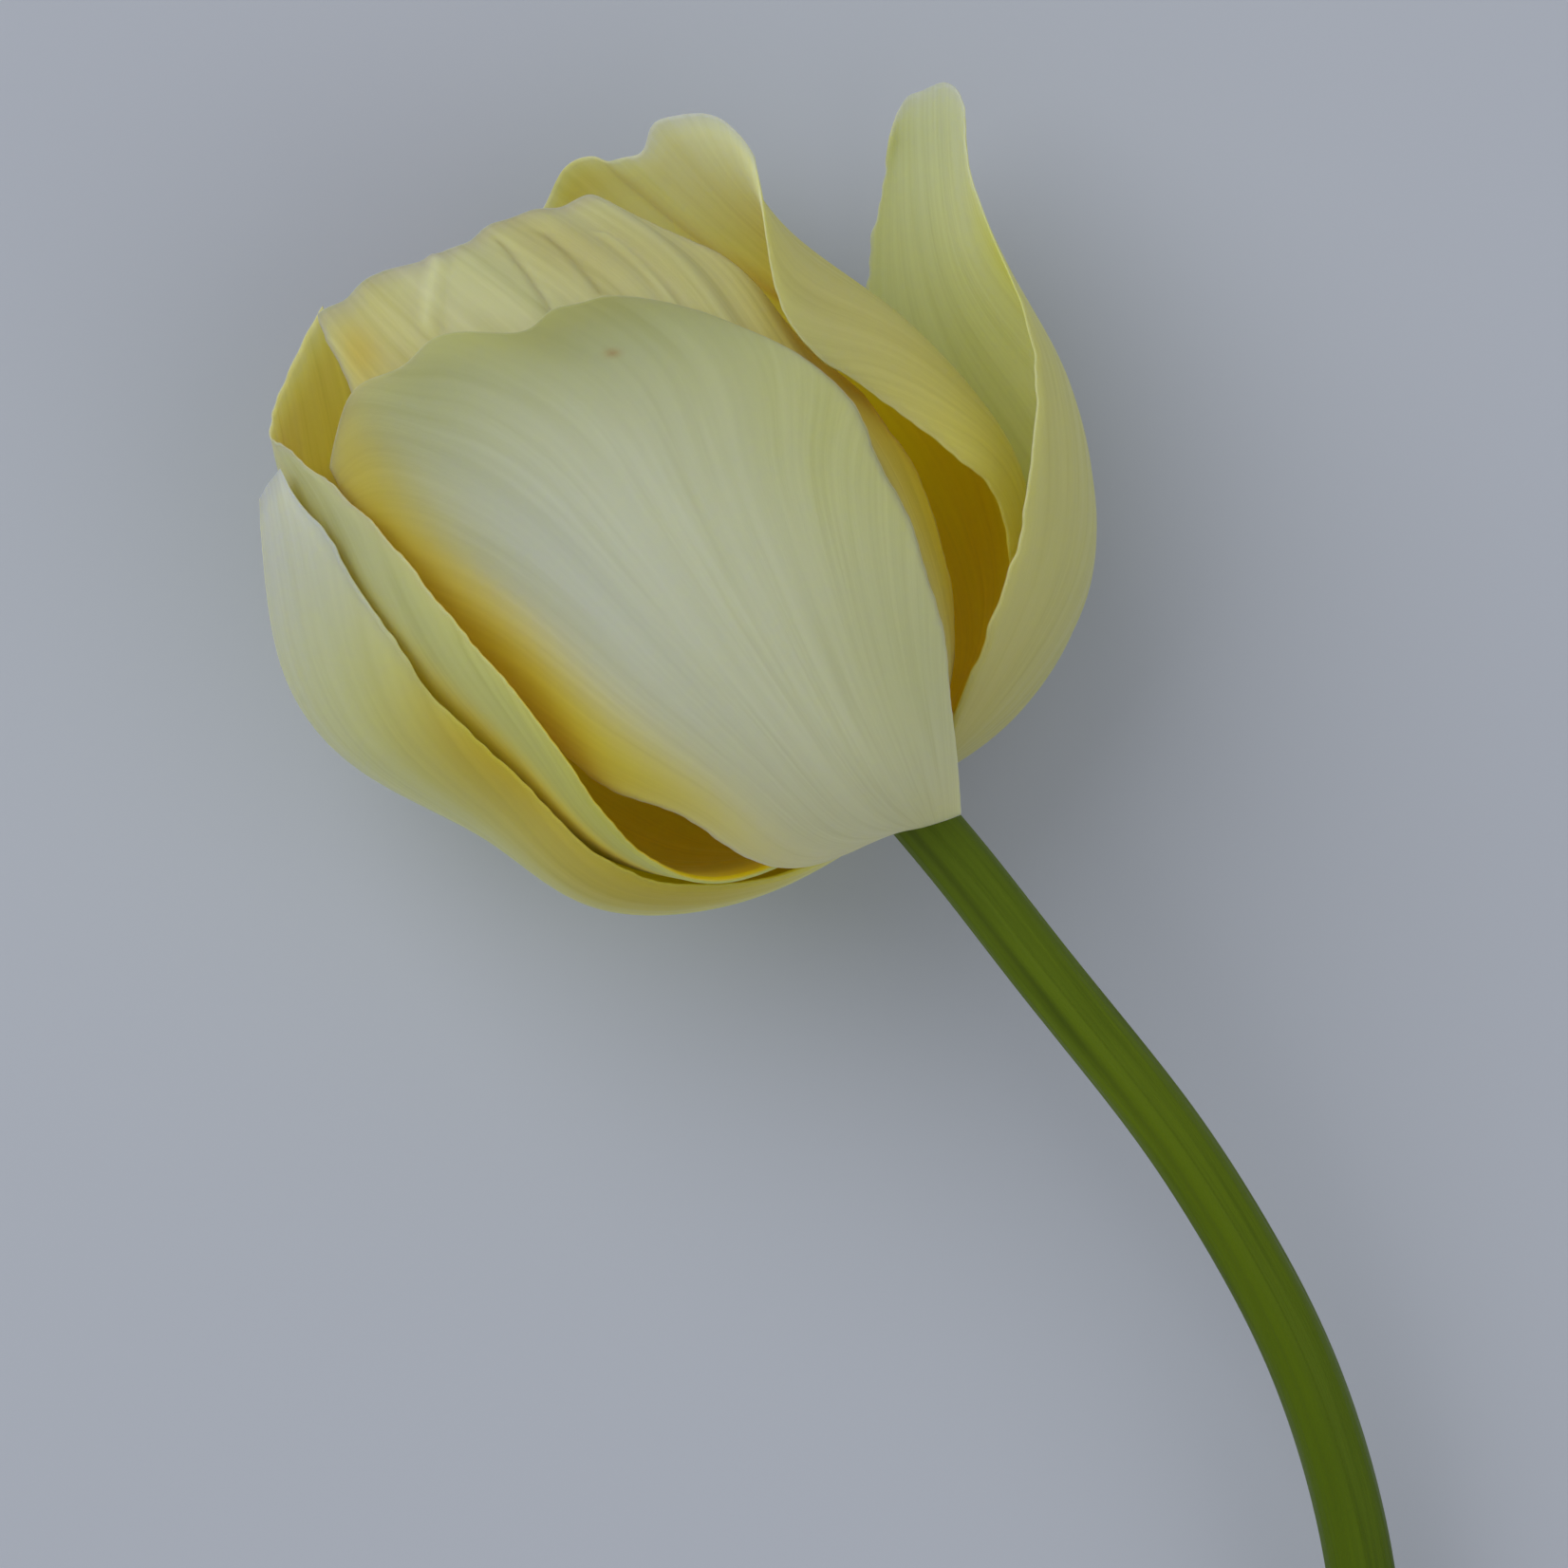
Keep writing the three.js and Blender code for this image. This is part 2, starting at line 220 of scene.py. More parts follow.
def arc_across(left, middle, right, half_angle, v):
    """At each row, a circular arc from the left rib (v = -1) through the
    middle rib (v = 0) to the right rib (v = 1): the middle rib is weighted by
    (cos(av) - cos a) / (1 - cos a), and the edges by its rest plus or minus
    half of sin(av) / sin a."""
    a = math.radians(half_angle)
    even = ((np.cos(a * v) - math.cos(a)) / (1 - math.cos(a)))[None, :, None]
    odd = (np.sin(a * v) / math.sin(a))[None, :, None]
    return (middle[:, None] * even + left[:, None] * (1 - even - odd) / 2
            + right[:, None] * (1 - even + odd) / 2)


def unit(vectors):
    """Vectors scaled to length one."""
    return vectors / np.maximum(np.linalg.norm(vectors, axis=-1, keepdims=True), 1e-9)


def sheet_normals(sheet):
    """Cross product of the way across and the way along: it points outward."""
    return unit(np.cross(np.gradient(sheet, axis=1), np.gradient(sheet, axis=0)))


def petal_sheet(petal, u, v):
    """The middle surface of a petal in mm, rows along u and columns along v."""
    ribs = [spline(drawn_in(petal[k]), u) for k in ("left", "middle", "right")]
    sheet = arc_across(*ribs, petal["arc"], v)
    along = unit(np.gradient(sheet, axis=0))
    reach = spline(petal["lip"], (v + 1) / 2)
    late = np.clip((u - LIP_START) / LIP_RUN, 0, 1) ** 1.5
    return sheet + along * (late[:, None] * reach[None, :])[..., None]


edge, middle = np.zeros((1, 1)), np.ones((1, 1))
print("an arc that rises by 1, from edge to edge:",
      arc_across(edge, middle, edge, 50, np.linspace(-1, 1, 5))[0, :, 0].round(2))

# %% [markdown]
# ## Small irregularities
#
# What makes a petal look grown is what the three ribs leave out: fine veins
# that run from claw to lip, broad soft waves near the lip, and an edge that
# is never quite even. All of them are sums of a few sines of unequal
# wavelengths, with phases drawn from a seeded generator, so the flower comes
# out the same every time.

# %% Uneven ripples from a few sines
def ripple(across, along, wavelength, wander, seed, terms=6):
    """Sum of sines across the piece, each near the given wavelength, whose
    phase drifts slowly along it; mostly between -1 and 1."""
    draw = np.random.default_rng(seed)
    total = 0
    for _ in range(terms):
        length = wavelength * draw.uniform(0.6, 1.7)
        drift = draw.uniform(-1, 1) / wander
        phase = draw.uniform(0, 2 * math.pi)
        total = total + np.sin(2 * math.pi * (across / length + along * drift) + phase)
    return total / math.sqrt(2 * terms)


def smooth_step(x, low, high):
    """0 below low, 1 above high, and a soft S between."""
    t = np.clip((x - low) / (high - low), 0, 1)
    return t * t * (3 - 2 * t)


def vein_place(petal, u, v):
    """Where a point lies across the petal, counted in veins: the veins start
    side by side in the claw and spread toward the lip, away from the apex.
    It is 28 (v - apex u^1.3) (1 - spread u^2), about 1 a millimetre."""
    return 28 * (v - petal.get("apex", 0) * u ** 1.3) * (1 - petal.get("spread", 0.5) * u ** 2)


def distances(sheet):
    """How far each grid point lies across from the middle column and along
    from the claw, in mm, added up step by step over the sheet."""
    across = np.linalg.norm(np.diff(sheet, axis=1), axis=2)
    across = np.concatenate([np.zeros((len(sheet), 1)), np.cumsum(across, axis=1)], axis=1)
    across = across - across[:, [sheet.shape[1] // 2]]
    along = np.linalg.norm(np.diff(sheet, axis=0), axis=2)
    along = np.concatenate([np.zeros((1, sheet.shape[1])), np.cumsum(along, axis=0)], axis=0)
    return across, along


print("ripple spans", ripple(np.linspace(0, 9, 99), 0, 1.0, 50, 1).round(2)[[0, 50, 98]])

# %% [markdown]
# ## From grids to a closed mesh
#
# A petal has two faces and a rim. Both faces are the same grid, pushed out
# and in from the middle surface by half the thickness, and a strip of quads
# round the border joins them, so that the mesh is one closed body. The
# thickness falls off to a fine edge. Every finished piece is then handed to
# the frame in the same way: it rides on the flower's body, in place of its
# solid, and carries its own material.

# %% Closed meshes from grids
def grid_quads(rows, columns, start=0):
    """Corner numbers of the quads of a grid, in the order that faces out."""
    corner = start + np.arange(rows * columns).reshape(rows, columns)
    return np.stack([corner[:-1, :-1], corner[:-1, 1:], corner[1:, 1:], corner[1:, :-1]],
                    axis=-1).reshape(-1, 4)


def border(rows, columns):
    """Corner numbers once round a grid's border, starting at its first corner."""
    corner = np.arange(rows * columns).reshape(rows, columns)
    return np.concatenate([corner[0, :-1], corner[:-1, -1], corner[-1, :0:-1], corner[:0:-1, 0]])


def make_mesh(name, points, faces, material, uv, paint):
    """A smooth-shaded object from points in mm and faces, with a UV place and
    a linear paint colour for each point."""
    mesh = bpy.data.meshes.new(name)
    mesh.from_pydata((points * MM).tolist(), [], faces)
    mesh.shade_smooth()
    corners = np.empty(len(mesh.loops), dtype=np.int32)
    mesh.loops.foreach_get("vertex_index", corners)
    layer = mesh.uv_layers.new(name="along_and_across")
    layer.data.foreach_set("uv", uv[corners].astype(np.float32).ravel())
    opaque = np.ones((len(paint), 1))
    colour = np.concatenate([paint, opaque], axis=1).astype(np.float32)
    mesh.attributes.new("paint", "FLOAT_COLOR", "POINT").data.foreach_set("color", colour.ravel())
    mesh.materials.append(material)
    mesh.validate()
    mesh.update()
    piece = bpy.data.objects.new(name, mesh)
    bpy.context.scene.collection.objects.link(piece)
    print(name, len(mesh.polygons), "faces")
    return piece


def hand_over(piece, node):
    """Put a fine piece on the flower's body in place of its solid."""
    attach(piece, "root")
    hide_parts(node)


print("a 3 x 4 grid:", len(grid_quads(3, 4)), "quads,", len(border(3, 4)), "corners on its border")

# %% [markdown]
# ## Painting a petal
#
# A cream tulip isn't one colour. It is pale grey-green where the outside
# faces the light and yellower inside and near the claw. Some washes are
# painted light and shade: the deep gold where two petals overlap is painted
# shade with painted light that comes through both, and the saturated gold
# deep in the mouth is partly painted light bounced between the petals.
# Those soft patches follow the petal, so they are laid on like washes of
# paint: each has a place, a length and a width on the petal, a colour and a
# strength. The mix is worked out for every point and kept in the mesh as a
# colour attribute.

# %% Washes of colour
def to_linear(rgb):
    """Screen colour 0 to 255 to the linear light that shaders use."""
    c = np.asarray(rgb, float) / 255
    return np.where(c <= 0.04045, c / 12.92, ((c + 0.055) / 1.055) ** 2.4)


def washed(ground, washes, u, v):
    """The ground colour with each wash laid over it in turn. A wash
    (u0, v0, length, width, colour, strength) covers by its strength times a
    bell of the distance from its middle, measured in lengths and widths."""
    colour = np.broadcast_to(to_linear(ground), u.shape + (3,)).copy()
    for u0, v0, length, width, rgb, strength in washes:
        cover = strength * np.exp(-((u - u0) / length) ** 2 - ((v - v0) / width) ** 2)
        colour += (to_linear(rgb) - colour) * cover[..., None]
    return colour


print("mid grey in linear light:", to_linear([128, 128, 128]).round(3))

# %% [markdown]
# ## The petal's finish
#
# A petal is a thin film of cells full of water: light goes in, spreads and
# comes out nearby or on the far side, so the shader needs subsurface
# scattering. Its skin is satin, with fine veins along its length. One group
# makes the veins from noise that is stretched along the petal, and every
# petal material uses it with its own strength.

# %% Vein group
def vein_group():
    """Streaks along the petal: noise read from a UV place that is squeezed
    lengthwise, mixed into the paint, and given as roughness and height too."""
    group = bpy.data.node_groups.new("petal_veins", "ShaderNodeTree")
    face = group.interface
    face.new_socket("Paint", in_out="INPUT", socket_type="NodeSocketColor")
    face.new_socket("Place", in_out="INPUT", socket_type="NodeSocketVector")
    face.new_socket("Vein Tint", in_out="INPUT", socket_type="NodeSocketColor")
    face.new_socket("Vein Strength", in_out="INPUT", socket_type="NodeSocketFloat")
    face.new_socket("Color", in_out="OUTPUT", socket_type="NodeSocketColor")
    face.new_socket("Roughness", in_out="OUTPUT", socket_type="NodeSocketFloat")
    face.new_socket("Height", in_out="OUTPUT", socket_type="NodeSocketFloat")
    nodes, links = group.nodes, group.links
    inside, outside = nodes.new("NodeGroupInput"), nodes.new("NodeGroupOutput")

    def streaks(across_scale, along_scale, detail, low, high):
        """Stretched noise, spread to 0..1 between two levels."""
        squeeze = nodes.new("ShaderNodeMapping")
        squeeze.inputs["Scale"].default_value = (across_scale, along_scale, 1)
        noise = nodes.new("ShaderNodeTexNoise")
        noise.noise_dimensions = "2D"
        noise.inputs["Scale"].default_value = 1.0
        noise.inputs["Detail"].default_value = detail
        spread = nodes.new("ShaderNodeMapRange")
        spread.inputs["From Min"].default_value = low
        spread.inputs["From Max"].default_value = high
        links.new(inside.outputs["Place"], squeeze.inputs["Vector"])
        links.new(squeeze.outputs["Vector"], noise.inputs["Vector"])
        links.new(noise.outputs["Fac"], spread.inputs["Value"])
        return spread.outputs["Result"]

    fine = streaks(1.5, 0.05, 3.0, 0.30, 0.70)
    broad = streaks(0.35, 0.03, 2.0, 0.30, 0.70)
    cells = streaks(7.0, 2.5, 2.0, 0.25, 0.75)
    both = nodes.new("ShaderNodeMath")
    both.operation = "MULTIPLY"
    links.new(fine, both.inputs[0])
    links.new(broad, both.inputs[1])
    amount = nodes.new("ShaderNodeMath")
    amount.operation = "MULTIPLY"
    links.new(both.outputs[0], amount.inputs[0])
    links.new(inside.outputs["Vein Strength"], amount.inputs[1])
    tinted = nodes.new("ShaderNodeMix")
    tinted.data_type, tinted.blend_type = "RGBA", "MULTIPLY"
    links.new(amount.outputs[0], tinted.inputs["Factor"])
    links.new(inside.outputs["Paint"], tinted.inputs["A"])
    links.new(inside.outputs["Vein Tint"], tinted.inputs["B"])
    links.new(tinted.outputs["Result"], outside.inputs["Color"])
    rough = nodes.new("ShaderNodeMapRange")
    rough.inputs["To Min"].default_value = 0.42
    rough.inputs["To Max"].default_value = 0.62
    links.new(broad, rough.inputs["Value"])
    links.new(rough.outputs["Result"], outside.inputs["Roughness"])
    height = nodes.new("ShaderNodeMath")
    height.operation = "MULTIPLY_ADD"
    height.inputs[1].default_value = 0.25
    links.new(cells, height.inputs[0])
    links.new(fine, height.inputs[2])
    links.new(height.outputs[0], outside.inputs["Height"])
    return group


VEINS = vein_group()
print("vein group gives", [s.name for s in VEINS.interface.items_tree if s.in_out == "OUTPUT"])

# %% [markdown]
# Petals and stem have the same kind of skin, so one function wires both. What
# differs is the tint and strength of the veins, the relief, and how far light
# travels under the skin: up to 3 mm in a petal, and a weak 1 mm in the green
# stem. A petal also has a faint silky sheen at glancing angles.

# %% Petal and stem materials
def veined_material(name, vein_tint, vein_strength, bump, depth, skin):
    """Paint and veins give the colour, roughness and relief, which is depth in
    metres at full bump. The skin is constants on the shader's own sockets."""
    material, nodes, links, shader = new_material(name)
    paint = nodes.new("ShaderNodeAttribute")
    paint.attribute_name = "paint"
    place = nodes.new("ShaderNodeUVMap")
    place.uv_map = "along_and_across"
    veins = nodes.new("ShaderNodeGroup")
    veins.node_tree = VEINS
    veins.inputs["Vein Tint"].default_value = (*to_linear(vein_tint), 1)
    veins.inputs["Vein Strength"].default_value = vein_strength
    relief = nodes.new("ShaderNodeBump")
    relief.inputs["Strength"].default_value = bump
    relief.inputs["Distance"].default_value = depth
    links.new(paint.outputs["Color"], veins.inputs["Paint"])
    links.new(place.outputs["UV"], veins.inputs["Place"])
    links.new(veins.outputs["Height"], relief.inputs["Height"])
    links.new(veins.outputs["Color"], shader.inputs["Base Color"])
    links.new(veins.outputs["Roughness"], shader.inputs["Roughness"])
    links.new(relief.outputs["Normal"], shader.inputs["Normal"])
    for socket, value in skin.items():
        shader.inputs[socket].default_value = value
    return material


PETAL_SKIN = {"Subsurface Weight": 1.0, "Subsurface Radius": (1.0, 0.9, 0.35),
              "Subsurface Scale": 0.003, "Specular IOR Level": 0.25, "Sheen Weight": 0.05}
STEM_SKIN = {"Subsurface Weight": 0.15, "Subsurface Radius": (0.6, 1.0, 0.3),
             "Subsurface Scale": 0.001, "Specular IOR Level": 0.15}
OUTER_PETAL = veined_material("outer_petal", (196, 190, 140), 0.22, 0.12, 0.0001, PETAL_SKIN)
INNER_PETAL = veined_material("inner_petal", (188, 184, 112), 0.28, 0.15, 0.0001, PETAL_SKIN)
STEM = veined_material("stem", (170, 180, 110), 0.5, 0.4, 0.00015, STEM_SKIN)
print("veined materials:", OUTER_PETAL.name, INNER_PETAL.name, STEM.name)

# %% [markdown]
# ## One petal, from ribs to piece
#
# With the helpers in place, a petal needs its thickness, its creases, its
# relief and its paint, and then one function puts them together. A real petal
# is thickest at the claw and along its middle, and is thin at the rim. Its
# sharpest folds are straight, so each is given by its two ends, and the
# distance to that line is enough to press it in and to shade it.

# %% Thickness and straight creases
ROWS, COLUMNS = 190, 136
PETAL_LONG, PETAL_HALF = 80.0, 30.0     # mm for one unit of u and of v
RIM_SHARE = 0.35                        # of the thickness that is left at the rim
RIM_SIDE, RIM_TIP = 0.05, 0.03          # reach of the rim, as a share of v and of u


def thickness(u, v):
    """In mm: 0.4, with 0.45 (1 - u)^1.5 more toward the claw and
    0.1 (1 - |v|)^2 more along the middle, down to a fine rim."""
    body = 0.40 + 0.45 * (1 - u) ** 1.5 + 0.10 * (1 - np.abs(v)) ** 2
    rim = smooth_step(1 - np.abs(v), 0.0, RIM_SIDE) * smooth_step(1 - u, 0.0, RIM_TIP)
    return body * (RIM_SHARE + (1 - RIM_SHARE) * rim)


def creased(creases, u, v):
    """Relief in mm and painted shade from straight creases. Each, from (u0, v0) to
    (u1, v1) with a width in mm, a depth in mm and a shade, falls off as a bell
    of the distance to its line. A negative depth and shade make a bright fold
    with a painted highlight."""
    relief, light = np.zeros(u.shape), np.ones(u.shape)
    for u0, v0, u1, v1, width, depth, shade in creases:
        x, y = (u - u0) * PETAL_LONG, (v - v0) * PETAL_HALF
        step = np.array([(u1 - u0) * PETAL_LONG, (v1 - v0) * PETAL_HALF])
        part = np.clip((x * step[0] + y * step[1]) / (step @ step), 0, 1)
        away = np.hypot(x - part * step[0], y - part * step[1])
        fall = np.exp(-(away / width) ** 2)
        relief -= depth * fall
        light *= 1 - shade * fall
    return relief, light


print("thickness at the claw, the middle and the tip:",
      [round(float(thickness(np.float64(u), np.float64(0))), 2) for u in (0, 0.5, 1)], "mm")

# %% [markdown]
# Four more kinds of relief lie on the smooth sheet. Veins run its whole
# length, pleats start about a third of the way up, broad waves are only near
# the lip, and a shallow groove marks the midrib. All of them fade out at the
# claw, so that the petals still fit side by side on the stem. Last, the two
# side edges swing in and out a little, because no petal's edge is even.

# %% Relief and uneven edge
VEIN_WAVE, PLEAT_WAVE, BROAD_WAVE = 2.2, 5.5, 22.0          # spacing in mm
VEIN_WANDER, PLEAT_WANDER, BROAD_WANDER = 260, 200, 120     # mm along for one drift
PLEAT_REACH, BROAD_REACH = (0.35, 0.9), (0.55, 1.0)         # u where they begin and are full
CLAW_RAMP = 6                                               # full relief from u = 1/6 up
MIDRIB_WIDTH, MIDRIB_DEPTH = 1.2, 0.25                      # mm
LONG_WAVE, LONG_SWING = 9.0, 0.25                           # along the edge, mm
SHORT_WAVE, SHORT_SWING = 2.2, 0.09
EDGE_REACH, EDGE_RAMP = (0.9, 1.0), 5                       # of |v|, and from u = 1/5 up


def petal_relief(petal, u, across, along, fan):
    """Veins + pleats + waves - midrib in mm, times a ramp from the claw."""
    seed = petal["seed"]
    veins = petal["veins"] * ripple(fan, along, VEIN_WAVE, VEIN_WANDER, seed)
    pleats = petal["pleats"] * smooth_step(u, *PLEAT_REACH) * ripple(
        fan, along, petal.get("pleat_width", PLEAT_WAVE), PLEAT_WANDER, seed + 1)
    waves = petal["waves"] * smooth_step(u, *BROAD_REACH) * ripple(
        across, along, BROAD_WAVE, BROAD_WANDER, seed + 2)
    midrib = MIDRIB_DEPTH * np.exp(-(across / MIDRIB_WIDTH) ** 2) * (1 - u)
    return np.clip(u * CLAW_RAMP, 0, 1) * (veins + pleats + waves - midrib)


def uneven_edge(sheet, u, v, along, seed):
    """The sheet with its two side edges swinging out and in by a long and a
    short ripple, which reach the outer tenth of each half."""
    swing = (ripple(along, 0, LONG_WAVE, 1, seed + 3) * LONG_SWING
             + ripple(along, 0, SHORT_WAVE, 1, seed + 4) * SHORT_SWING)
    outward = unit(np.gradient(sheet, axis=1)) * np.sign(v)[..., None]
    margin = smooth_step(np.abs(v), *EDGE_REACH) * np.clip(u * EDGE_RAMP, 0, 1)
    return sheet + outward * (swing * margin)[..., None]


print("widest swing of an edge:", LONG_SWING + SHORT_SWING, "mm")

# %% [markdown]
# The paint of each face is its washes, streaked along the veins, with painted
# shade in the creases and a painted highlight on the bright folds. The two
# faces are painted apart, because the inside of a tulip petal is a deeper gold
# than the outside.

# %% Paint both faces
BROAD_STREAK, FINE_STREAK = (3.0, 150), (1.1, 90)           # spacing and wander in mm
FINE_SHARE = 0.6                                            # of the broad streaks' strength
STREAK_REACH = (0.1, 0.6)                                   # u where they begin and are full
EVEN_STREAKS = 0.03                                         # share of the brightness


def petal_paint(petal, u, v, along, fan, light):
    """Washes x painted crease shade and highlight x (1 + streaks), outside first, then inside."""
    seed = petal["seed"]
    streaks = petal.get("streaks", EVEN_STREAKS) * smooth_step(u, *STREAK_REACH) * (
        ripple(fan, along, *BROAD_STREAK, seed + 5)
        + FINE_SHARE * ripple(fan, along, *FINE_STREAK, seed + 6))
    faces = [washed(petal[side], petal[side + "_washes"], u, v)
             * (light * (1 + streaks))[..., None] for side in ("outside", "inside")]
    return np.concatenate(faces).reshape(-1, 3)


print("streaks change the brightness by about", EVEN_STREAKS)

# %% [markdown]
# Last comes the body itself: the outer face, the inner face turned round, and
# the rim between them.

# %% Build a petal
INSIDE_SHIFT = 50       # UV distance between the two faces, so their veins differ


def build_petal(name, petal):
    """Sheet, relief, two faces and a rim, painted and placed on its body."""
    u, v = np.linspace(0, 1, ROWS), np.linspace(-1, 1, COLUMNS)
    sheet = petal_sheet(petal, u, v)
    across, along = distances(sheet)
    uu, vv = np.meshgrid(u, v, indexing="ij")
    fan = vein_place(petal, uu, vv)
    # light is the painted shade and highlight of the creases, laid into the paint
    folds, light = creased(petal.get("creases", []), uu, vv)
    relief = petal_relief(petal, uu, across, along, fan) + folds
    sheet = sheet + sheet_normals(sheet) * relief[..., None]
    sheet = uneven_edge(sheet, uu, vv, along, petal["seed"])
    half = sheet_normals(sheet) * (thickness(uu, vv) / 2)[..., None]
    points = np.concatenate([(sheet + half).reshape(-1, 3), (sheet - half).reshape(-1, 3)])
    shift = ROWS * COLUMNS
    ring = border(ROWS, COLUMNS)
    after = np.roll(ring, -1)
    faces = np.concatenate([grid_quads(ROWS, COLUMNS), grid_quads(ROWS, COLUMNS, shift)[:, ::-1],
                            np.stack([ring, ring + shift, after + shift, after], axis=1)])
    uv = np.stack([fan, along], axis=-1).reshape(-1, 2)
    piece = make_mesh("fine_" + name, points, faces.tolist(), petal["material"],
                      np.concatenate([uv, uv + INSIDE_SHIFT]),
                      petal_paint(petal, uu, vv, along, fan, light))
    hand_over(piece, name)


print("each petal is two grids of", ROWS, "x", COLUMNS, "points")

# %% [markdown]
# ## The six petals
#
# Each petal is one table: the three ribs as (h, w, d) points in mm, the lip,
# the amounts of relief in mm, the creases as (u0, v0, u1, v1, width, depth,
# shade), and the ground colour and washes of the two faces. Apex and spread
# say where its veins lean and how fast they fan out. The petals overlap in a
# fixed order, so their edges were placed with a gap of about a millimetre.

# %% Petal tables
PETALS = {}


def petal_table(name, **table):
    """Keep a petal's table under the name of its solid."""
    PETALS[name] = table
    print(name, "has", len(table["outside_washes"]), "washes outside,",
          len(table["inside_washes"]), "inside")


print("petals to come:", ", ".join(n for n in sorted(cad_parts) if "petal" in n))

# %% [markdown]
# This is the broad petal nearest the eye, pale and cool in its middle. Its
# left edge is tucked under the inner petal on that side, and the deep gold
# there is painted shade and painted light that comes through both petals.
# Its lip has four shallow lobes. Its veins lean to the right, toward its
# apex, and fan out strongly.

# %% Front outer petal
petal_table(
    "outer_petal_front",
    material=OUTER_PETAL, slot="outer_petal", seed=11, arc=52, veins=0.012, pleats=0.05,
    waves=0.35, apex=0.7, spread=0.75,
    left=[(1.8, -3.2, 4.6), (7.2, -14.5, 14), (17, -17.6, 19), (28, -21.8, 17.5),
          (42, -22, 16), (57, -21.6, 15.5), (70.4, -18.1, 13)],
    middle=[(0, -0.8, 5.8), (5.5, -2, 21), (16, -1.5, 29), (30, -0.5, 32.5), (44, 0.5, 32),
            (57, 2, 28.5), (69.5, 2.5, 21)],
    right=[(-2.1, 3.1, 4.8), (5, 9, 14), (12, 14.6, 18.5), (21, 19.8, 20.5),
           (31, 23.6, 20.5), (41, 25.6, 19.5), (54, 21, 18)],
    lip=[0, 1.2, 2.8, 2.3, 1.0, 1.8, 0.3, -1.9, 0.4, 1.5, 2.9, 2.4, 0],
    outside=(220, 223, 184),
    outside_washes=[(0.7, 0.95, 0.42, 0.6, (236, 238, 142), 0.9),
                    (0.3, 0.7, 0.18, 0.5, (204, 208, 142), 0.6),
                    (0.3, -0.45, 0.2, 0.45, (200, 203, 168), 0.6),
                    (1.02, 0, 0.2, 1.8, (163, 167, 106), 0.85),
                    (0, 0, 0.2, 2, (205, 202, 138), 0.6),
                    # The gold washes near v = -0.86 are painted shade and light through the inner
                    # petal over this edge.
                    (0.6, -0.86, 0.32, 0.25, (216, 200, 60), 0.97),
                    (0.88, -0.85, 0.13, 0.22, (184, 166, 66), 0.8),
                    (1.02, 0.5, 0.07, 0.6, (168, 160, 76), 0.55),
                    (0.6, -0.88, 0.32, 0.2, (214, 196, 56), 0.9),
                    (0.9, 0.35, 0.007, 0.028, (176, 132, 84), 0.7)],
    inside=(240, 222, 95),
    inside_washes=[(0.1, 0, 0.35, 2, (250, 205, 20), 0.9)])

# %% [markdown]
# Behind it stands the lip of the front inner petal, which is pleated from
# edge to edge. The straight creases below are the deepest of the pleats:
# the two with a positive shade carry painted shade, and the two with a
# negative shade a painted highlight. The deep gold on its right margin is
# painted shade and bounced light, where that margin lies in the gap between
# the outer petals.

# %% Front inner petal
petal_table(
    "inner_petal_front",
    material=INNER_PETAL, slot="inner_petal", seed=23, arc=50, veins=0.015, pleats=0.42,
    pleat_width=4.2, waves=0.5, streaks=0.07,
    left=[(4.5, 1, 3.9), (7.5, -5, 14), (17, -9, 22.5), (30, -12, 25), (45, -13, 24.5),
          (62, -14, 18.5), (81.3, -8.2, 9.5)],
    middle=[(4.5, 3, 2.6), (8, 6, 13.5), (18, 8, 21), (32, 9, 24.5), (48, 10, 24),
            (64, 10, 19), (78.3, 8, 11)],
    right=[(4.5, 3.9, 0.4), (9, 12.5, 5.8), (17, 20.2, 10.5), (30, 26, 11.5),
           (43, 26.6, 10), (55, 26.8, 8.5), (69.7, 22.3, 6)],
    lip=[1.5, 1.3, 0.9, 0.9, 0, -1.5, -1.3, 0, 0.5, 0.2, 0, 0, 0],
    # Positive shade: painted shade along the crease; negative shade: a painted highlight.
    creases=[(0.99, -0.18, 0.92, -0.44, 1.0, -0.7, -0.1),
             (0.97, 0.16, 0.86, 0.0, 0.7, 0.35, 0.14),
             (0.95, 0.36, 0.84, 0.22, 0.7, 0.3, 0.12),
             (0.92, 0.56, 0.79, 0.43, 0.8, -0.35, -0.1)],
    outside=(207, 213, 158),
    outside_washes=[(0.95, -0.75, 0.12, 0.4, (212, 204, 132), 0.8),
                    (0.92, 0.33, 0.14, 0.3, (188, 182, 120), 0.8),
                    # This deep gold wash is painted shade and bounced light in the gap between the
                    # outer petals.
                    (0.4, 1, 0.45, 0.45, (190, 170, 16), 0.97),
                    (0.95, -0.84, 0.03, 0.12, (214, 186, 84), 0.8)],
    inside=(245, 225, 90),
    inside_washes=[(0.1, 0, 0.4, 2, (250, 205, 20), 0.9)])

# %% [markdown]
# The back inner petal shows its gold inside. That saturated gold is partly
# the petal's own yellow and partly painted light, bounced between the petals
# in the shaded mouth. Its tip is pale and has two lobes, with a crease that
# runs down from the notch between them. The crease carries painted shade, and
# the olive wash on the lobe beyond it is painted shade too.

